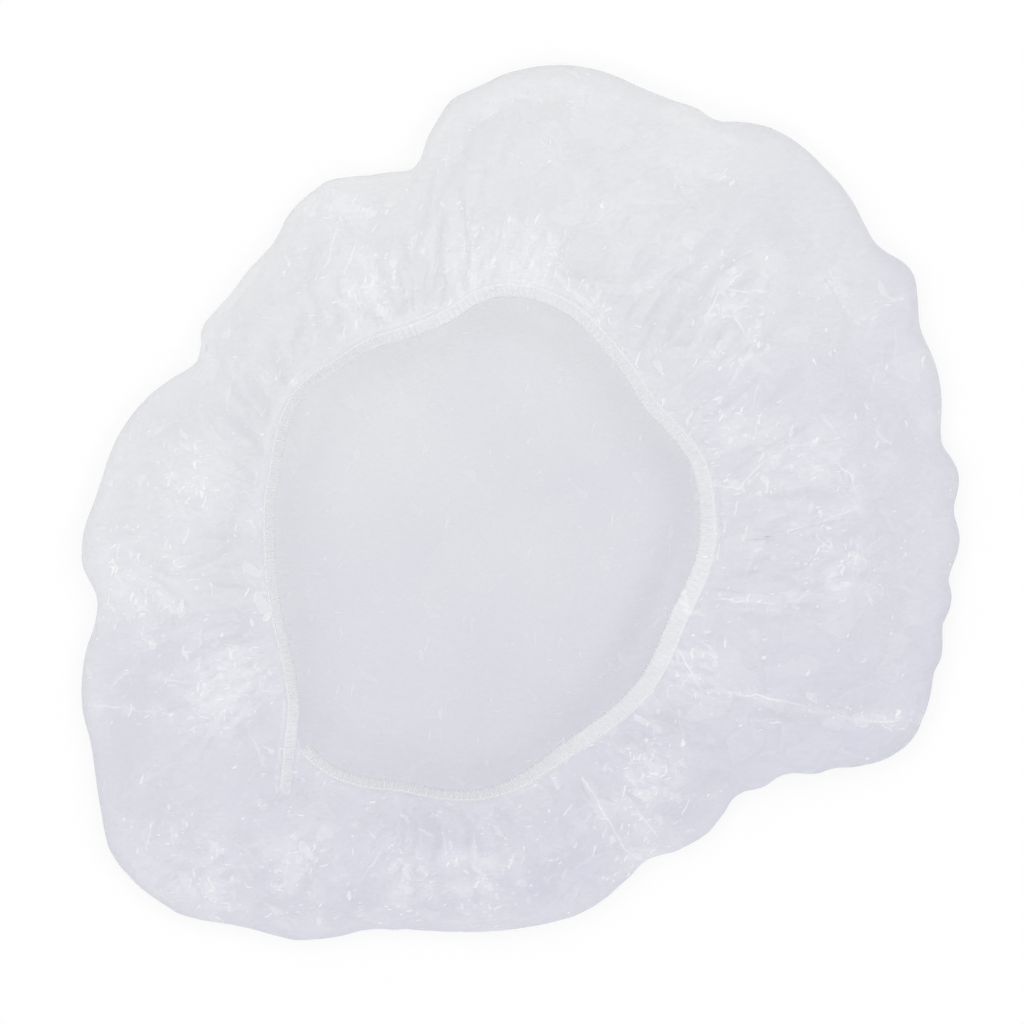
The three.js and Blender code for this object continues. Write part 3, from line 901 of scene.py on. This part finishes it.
# The tail's crinkle paints it whiter: painted light that lifts the shade it lies in.
TAIL_PAINTED_LIGHT_REACH = 12 * MM
TAIL_CRINKLE_AND_PAINTED_LIGHT = 1.5
tail_length = np.linalg.norm(np.diff(tail, axis=0), axis=1).sum()
ring_count = stitch_count * PUCKER_STEPS + 1
hem_place, hem_across, hem_face = hem_steps(ring_count)
dice = np.random.default_rng(21)
pleats = np.arange(0, stitch_count + PLEAT_STITCHES + 1, PLEAT_STITCHES)
pleated = np.interp(np.arange(stitch_count + 1), pleats, dice.uniform(0, 1, len(pleats)))
pucker_size = PUCKER_HEIGHT * (PUCKER_LEAST + PUCKER_MORE * pleated ** 2)
pucker_size *= dice.uniform(*PUCKER_SPREAD, stitch_count + 1)
points = []
for k in range(ring_count):
    stitch, step = divmod(k, PUCKER_STEPS)
    swell = math.sin(math.pi * step / PUCKER_STEPS) ** PUCKER_ROUND
    section = fold_section(pucker_size[stitch] * swell - PUCKER_SINK)
    points.append(hem_place[k] + section[:, :1] * hem_across[k] + section[:, 1:] * hem_face[k])
section_size = len(points[0])
first = (np.arange(ring_count - 1)[:, None] * section_size + np.arange(section_size - 1)).ravel()
corners = [first, first + 1, first + section_size + 1, first + section_size]
hem_quads = np.stack(corners, axis=1).tolist()
hem = new_object("hem", np.concatenate(points), hem_quads)
set_attribute(hem.data, "laid", np.concatenate(points))
hem_angle = np.degrees(np.arctan2(*(hem_place - mouth_middle)[:, 1::-1].T))
bunched_and_painted_shade = np.interp(hem_angle, *np.array(BUNCHED_AND_PAINTED_SHADE).T, period=360)
from_tip = np.arange(ring_count) * STITCH / PUCKER_STEPS
on_tail = np.clip((tail_length - from_tip) / TAIL_PAINTED_LIGHT_REACH, 0, 1)
set_attribute(hem.data, "gathered", np.repeat(bunched_and_painted_shade * (1 - on_tail), section_size))
set_attribute(hem.data, "crinkle", np.repeat(TAIL_CRINKLE_AND_PAINTED_LIGHT * on_tail, section_size))
hem.data.materials.append(film_material(
    "polyethylene_hem", ("#f2f3f5", "#e2e3e9"), ("#f6f7f9", "#dcdde3"),
    haze_flat=0.5, haze_gathered=0.85))
print("hem triangles:", 2 * len(hem_quads))

# %% [markdown]
# ## The elastic
# The band inside the fold is a narrow white braid over rubber. It shows through where the film is
# drawn thin, so it needs its ribs along the length and a matte finish with slanting yarns, on a strip
# with rounded edges. Thin braid lets light through, as the film does.

# %% Make the elastic
ELASTIC_HALF_WIDTH = 2 * MM
ELASTIC_HALF_DEPTH = 0.4 * MM
ELASTIC_OFFSET = -0.3 * MM
ELASTIC_RIBS = 5
RIB_DEPTH = 0.18
ELASTIC_STEPS = 400
SECTION_STEPS = 40
SIDE_ROUND = 0.6
FACE_ROUND = 0.4
YARN_WIDTH = 0.45 * MM
YARN_HEIGHT = 0.08 * MM


def elastic_section():
    """A flat strip with a rib for each rubber core, as places across and square to its face."""
    turns = np.linspace(0, 2 * math.pi, SECTION_STEPS, endpoint=False)
    u = ELASTIC_HALF_WIDTH * np.sign(np.cos(turns)) * np.abs(np.cos(turns)) ** SIDE_ROUND
    ribs = (1 + RIB_DEPTH * np.cos(math.pi * ELASTIC_RIBS * u / ELASTIC_HALF_WIDTH)) / (1 + RIB_DEPTH)
    v = ELASTIC_HALF_DEPTH * np.sign(np.sin(turns)) * np.abs(np.sin(turns)) ** FACE_ROUND * ribs
    return np.column_stack([u + ELASTIC_OFFSET, v])


def swept(name, section, count):
    """A closed strip of that section along the route, with closed ends."""
    place, side, up = hem_steps(count)
    size = len(section)
    rings = place[:, None] + section[None, :, :1] * side[:, None] + section[None, :, 1:] * up[:, None]
    k, j = (m.ravel() for m in np.meshgrid(np.arange(count - 1), np.arange(size), indexing="ij"))
    start, after = k * size + j, k * size + (j + 1) % size
    walls = np.stack([start, start + size, after + size, after], axis=1).tolist()
    ends = [list(range(size)), list(range(count * size - 1, (count - 1) * size - 1, -1))]
    return new_object(name, rings.reshape(-1, 3), walls + ends)


def fibre_material(name, kind, texture, colours, relief, finish, **settings):
    """Matte white fibre: one texture draws its yarns, in two colours and a little relief."""
    material, tree = new_material(name)
    place = add(tree, "ShaderNodeTexCoord").outputs["Object"]
    yarns = add(tree, kind, {"Vector": place, **texture}, **settings).outputs["Fac"]
    tone = add(tree, "ShaderNodeMix", {
        "Factor": yarns, "A": linear(colours[0]), "B": linear(colours[1])}, data_type="RGBA")
    raised = add(tree, "ShaderNodeBump", {"Distance": relief, "Height": yarns})
    fibre = add(tree, "ShaderNodeBsdfPrincipled", {"Base Color": tone, "Normal": raised, **finish})
    let_through(tree, fibre, stopped(tree, LIGHT_STOPPED))
    return material


elastic = swept("elastic", elastic_section(), ELASTIC_STEPS)
elastic.data.materials.append(fibre_material(
    "braided_elastic", "ShaderNodeTexWave", {"Scale": 1 / (2 * YARN_WIDTH), "Distortion": 1.5},
    ("#e9ecef", "#f4f5f7"), YARN_HEIGHT, {"Roughness": 0.7}, bands_direction="DIAGONAL"))
print("elastic polygons:", len(elastic.data.polygons))

# %% [markdown]
# ## The overlock seam
# Three threads hold the fold: the needle thread runs near the outer edge, and a looper thread on
# each face lies across the hem from the needle line and round the fold, one rung for each stitch.
# The rungs repeat along a path, so a node tree sets one arched thread on each stitch, turned to the
# hem's own directions, with a little seeded unevenness. The thread is spun polyester, soft white with
# a dull sheen, and it too lets some light through.

# %% Build the tree that sews a row of thread
PLY_LENGTH = 0.6 * MM
PLY_HEIGHT = 0.1 * MM


def seam_tree():
    """A tree that puts one arched thread on each point, across the directions stored there."""
    tree = bpy.data.node_groups.new("seam_row", "GeometryNodeTree")
    for name, kind in (("Geometry", "NodeSocketGeometry"), ("Start", "NodeSocketVector"),
                       ("Arch", "NodeSocketVector"), ("End", "NodeSocketVector"),
                       ("Thread Radius", "NodeSocketFloat"), ("Unevenness", "NodeSocketFloat"),
                       ("Seed", "NodeSocketInt"), ("Material", "NodeSocketMaterial")):
        tree.interface.new_socket(name, in_out="INPUT", socket_type=kind)
    tree.interface.new_socket("Geometry", in_out="OUTPUT", socket_type="NodeSocketGeometry")
    given = add(tree, "NodeGroupInput").outputs
    rung = add(tree, "GeometryNodeCurveQuadraticBezier", {
        "Resolution": 7, "Start": given["Start"], "Middle": given["Arch"], "End": given["End"]})
    yarn = add(tree, "GeometryNodeCurvePrimitiveCircle", {
        "Resolution": 6, "Radius": given["Thread Radius"]})
    tube = add(tree, "GeometryNodeCurveToMesh", {
        "Curve": rung, "Profile Curve": yarn, "Fill Caps": True})
    side = add(tree, "GeometryNodeInputNamedAttribute", {"Name": "across"}, data_type="FLOAT_VECTOR")
    up = add(tree, "GeometryNodeInputNamedAttribute", {"Name": "face"}, data_type="FLOAT_VECTOR")
    turned = add(tree, "FunctionNodeAxesToRotation", {
        "Primary Axis": side, "Secondary Axis": up}, primary_axis="X", secondary_axis="Z")
    lean = add(tree, "FunctionNodeRandomValue", {
        "Min": (0.0, 0.0, -1.0), "Max": (0.0, 0.0, 1.0), "Seed": given["Seed"]}, data_type="FLOAT_VECTOR")
    leaned = add(tree, "ShaderNodeVectorMath", {0: lean, "Scale": given["Unevenness"]}, operation="SCALE")
    swing = add(tree, "FunctionNodeEulerToRotation", {"Euler": leaned})
    uneven = add(tree, "FunctionNodeRotateRotation", {
        "Rotation": turned, "Rotate By": swing}, rotation_space="LOCAL")
    sewn = add(tree, "GeometryNodeInstanceOnPoints", {
        "Points": given["Geometry"], "Instance": tube, "Rotation": uneven})
    real = add(tree, "GeometryNodeRealizeInstances", {"Geometry": sewn})
    coloured = add(tree, "GeometryNodeSetMaterial", {"Geometry": real, "Material": given["Material"]})
    add(tree, "NodeGroupOutput", {"Geometry": coloured})
    return tree


seam = seam_tree()
thread_look = fibre_material(
    "polyester_thread", "ShaderNodeTexNoise", {"Scale": 1 / PLY_LENGTH, "Detail": 2.0},
    ("#edeff2", "#f6f7f8"), PLY_HEIGHT, {"Roughness": 0.6, "Sheen Weight": 0.2})
print("seam tree nodes:", len(seam.nodes))

# %% [markdown]
# Each row is the same tree with other sizes: the needle thread lies along the hem, so its points
# give the hem's own direction in place of the one across it.

# %% Sew the three rows
THREAD_RADIUS = 0.13 * MM
SEAM_LIFT = FOLD_DEPTH + 0.1 * MM


def stitch_points(name, lift, offset, directions):
    """One point for each stitch, with the directions that the tree reads."""
    count = stitch_count + 1
    place, side, up = hem_steps(count)
    up = up * math.copysign(1, lift)
    row = place + up * abs(lift) + side * offset
    piece = new_object(name, row, [])
    set_attribute(piece.data, "across", unit(along_route(directions, count)))
    set_attribute(piece.data, "face", up)
    return piece


def sew(piece, start, arch, end, unevenness, seed):
    """Adds the tree to a row of stitch points and turns the result into plain mesh."""
    modifier = piece.modifiers.new("sew", "NODES")
    modifier.node_group = seam
    values = {"Start": start, "Arch": arch, "End": end, "Thread Radius": THREAD_RADIUS,
              "Unevenness": unevenness, "Seed": seed, "Material": thread_look}
    for socket in seam.interface.items_tree:
        if socket.in_out == "INPUT" and socket.name in values:
            modifier[socket.identifier] = values[socket.name]
    finished(piece)
    piece.data.shade_smooth()
    return piece


RUNG = ((-HEM_HALF_WIDTH - 0.05 * MM, 0.0, -0.8 * MM), (-0.6 * HEM_HALF_WIDTH, 0.0, 0.6 * MM),
        (NEEDLE_LINE, 0.25 * STITCH, 0.0))
NEEDLE_STITCH = ((-0.5 * STITCH, 0.0, -0.2 * MM), (0.0, 0.0, 0.3 * MM), (0.5 * STITCH, 0.0, -0.2 * MM))
RUNG_UNEVEN = 0.16
NEEDLE_UNEVEN = 0.06
upper_looper = sew(stitch_points("upper_looper", SEAM_LIFT, 0.0, across), *RUNG, RUNG_UNEVEN, 31)
lower_looper = sew(stitch_points("lower_looper", -SEAM_LIFT, 0.0, across), *RUNG, RUNG_UNEVEN, 32)
needle = sew(stitch_points("needle", FOLD_DEPTH, NEEDLE_LINE, along), *NEEDLE_STITCH, NEEDLE_UNEVEN, 33)
print("thread triangles:", [2 * len(p.data.polygons) for p in (upper_looper, lower_looper, needle)])

# %% [markdown]
# ## How the pieces move
# The mouth can be lifted off the crown. The hem, the elastic and the threads are tied to the mouth
# and rise with it.

# %% Tie the pieces to the bodies
for piece, nodes, slot in (
    (hem, ("film_hem",), "film"),
    (elastic, ("elastic_band",), "elastic"),
    (needle, ("needle_thread",), "thread"),
    (upper_looper, ("upper_looper_thread",), "thread"),
    (lower_looper, ("lower_looper_thread",), "thread"),
):
    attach(piece, "mouth")
    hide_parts(*nodes)
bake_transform(film)
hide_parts("film_crown", "film_side", "film_skirt")

# %% [markdown]
# ## Floor, light and camera
# The cap lies on a plain white floor under soft, even light: a white sky, and a ring of wide lamps
# that stand low enough for the film not to glare.

# %% Lay the floor and light it
HALF_FLOOR = 4.0
FLOOR_LEVEL = -0.3 * MM
SKY_STRENGTH = 0.67
LAMP_COUNT = 8
LAMP_TURN = 20
LAMP_ELEVATIONS = (50, 58)
LAMP_POWER = 0.173
LAMP_ANGLE = math.radians(20)
floor_plan = HALF_FLOOR * np.array([(-1, -1), (1, -1), (1, 1), (-1, 1)])
floor = new_object("floor", [(x, y, FLOOR_LEVEL) for x, y in floor_plan], [(0, 1, 2, 3)])
floor_look, floor_tree = new_material("white_table")
matte = add(floor_tree, "ShaderNodeBsdfDiffuse", {"Color": linear("#fcfcfc")})
add(floor_tree, "ShaderNodeOutputMaterial", {"Surface": matte})
floor.data.materials.append(floor_look)

scene = bpy.context.scene
scene.view_settings.view_transform = "Standard"
scene.cycles.transparent_max_bounces = 32
world = bpy.data.worlds.new("studio")
scene.world = world
world.use_nodes = True
sky = world.node_tree.nodes["Background"].inputs
sky["Color"].default_value = (1, 1, 1, 1)
sky["Strength"].default_value = SKY_STRENGTH
for number in range(LAMP_COUNT):
    lamp = bpy.data.lights.new("lamp", "SUN")
    lamp.energy = LAMP_POWER
    lamp.angle = LAMP_ANGLE
    holder = bpy.data.objects.new("lamp", lamp)
    a = math.radians(LAMP_TURN + number * 360 / LAMP_COUNT)
    e = math.radians(LAMP_ELEVATIONS[number % 2])
    toward = Vector((math.cos(e) * math.cos(a), math.cos(e) * math.sin(a), math.sin(e)))
    holder.rotation_euler = toward.to_track_quat("Z", "Y").to_euler()
    scene.collection.objects.link(holder)
print("lamps:", LAMP_COUNT)

# %% [markdown]
# The camera looks straight down. A long lens from far above keeps the rim and the crown at nearly one
# scale. Its height follows from the width that the picture has to show at the height of the rim.

# %% Set the camera
CAMERA_LENS = 135
CAMERA_SENSOR = 36
VIEW_WIDTH = 325.6 * MM
VIEW_MIDDLE = (-2.5 * MM, -2.5 * MM)
eye = bpy.data.cameras.new("camera")
eye.lens = CAMERA_LENS
eye.sensor_width = CAMERA_SENSOR
camera = bpy.data.objects.new("camera", eye)
camera.location = (*VIEW_MIDDLE, RIM_HEIGHT + VIEW_WIDTH * CAMERA_LENS / CAMERA_SENSOR)
scene.collection.objects.link(camera)
scene.camera = camera
print("camera height m:", round(camera.location.z, 3))
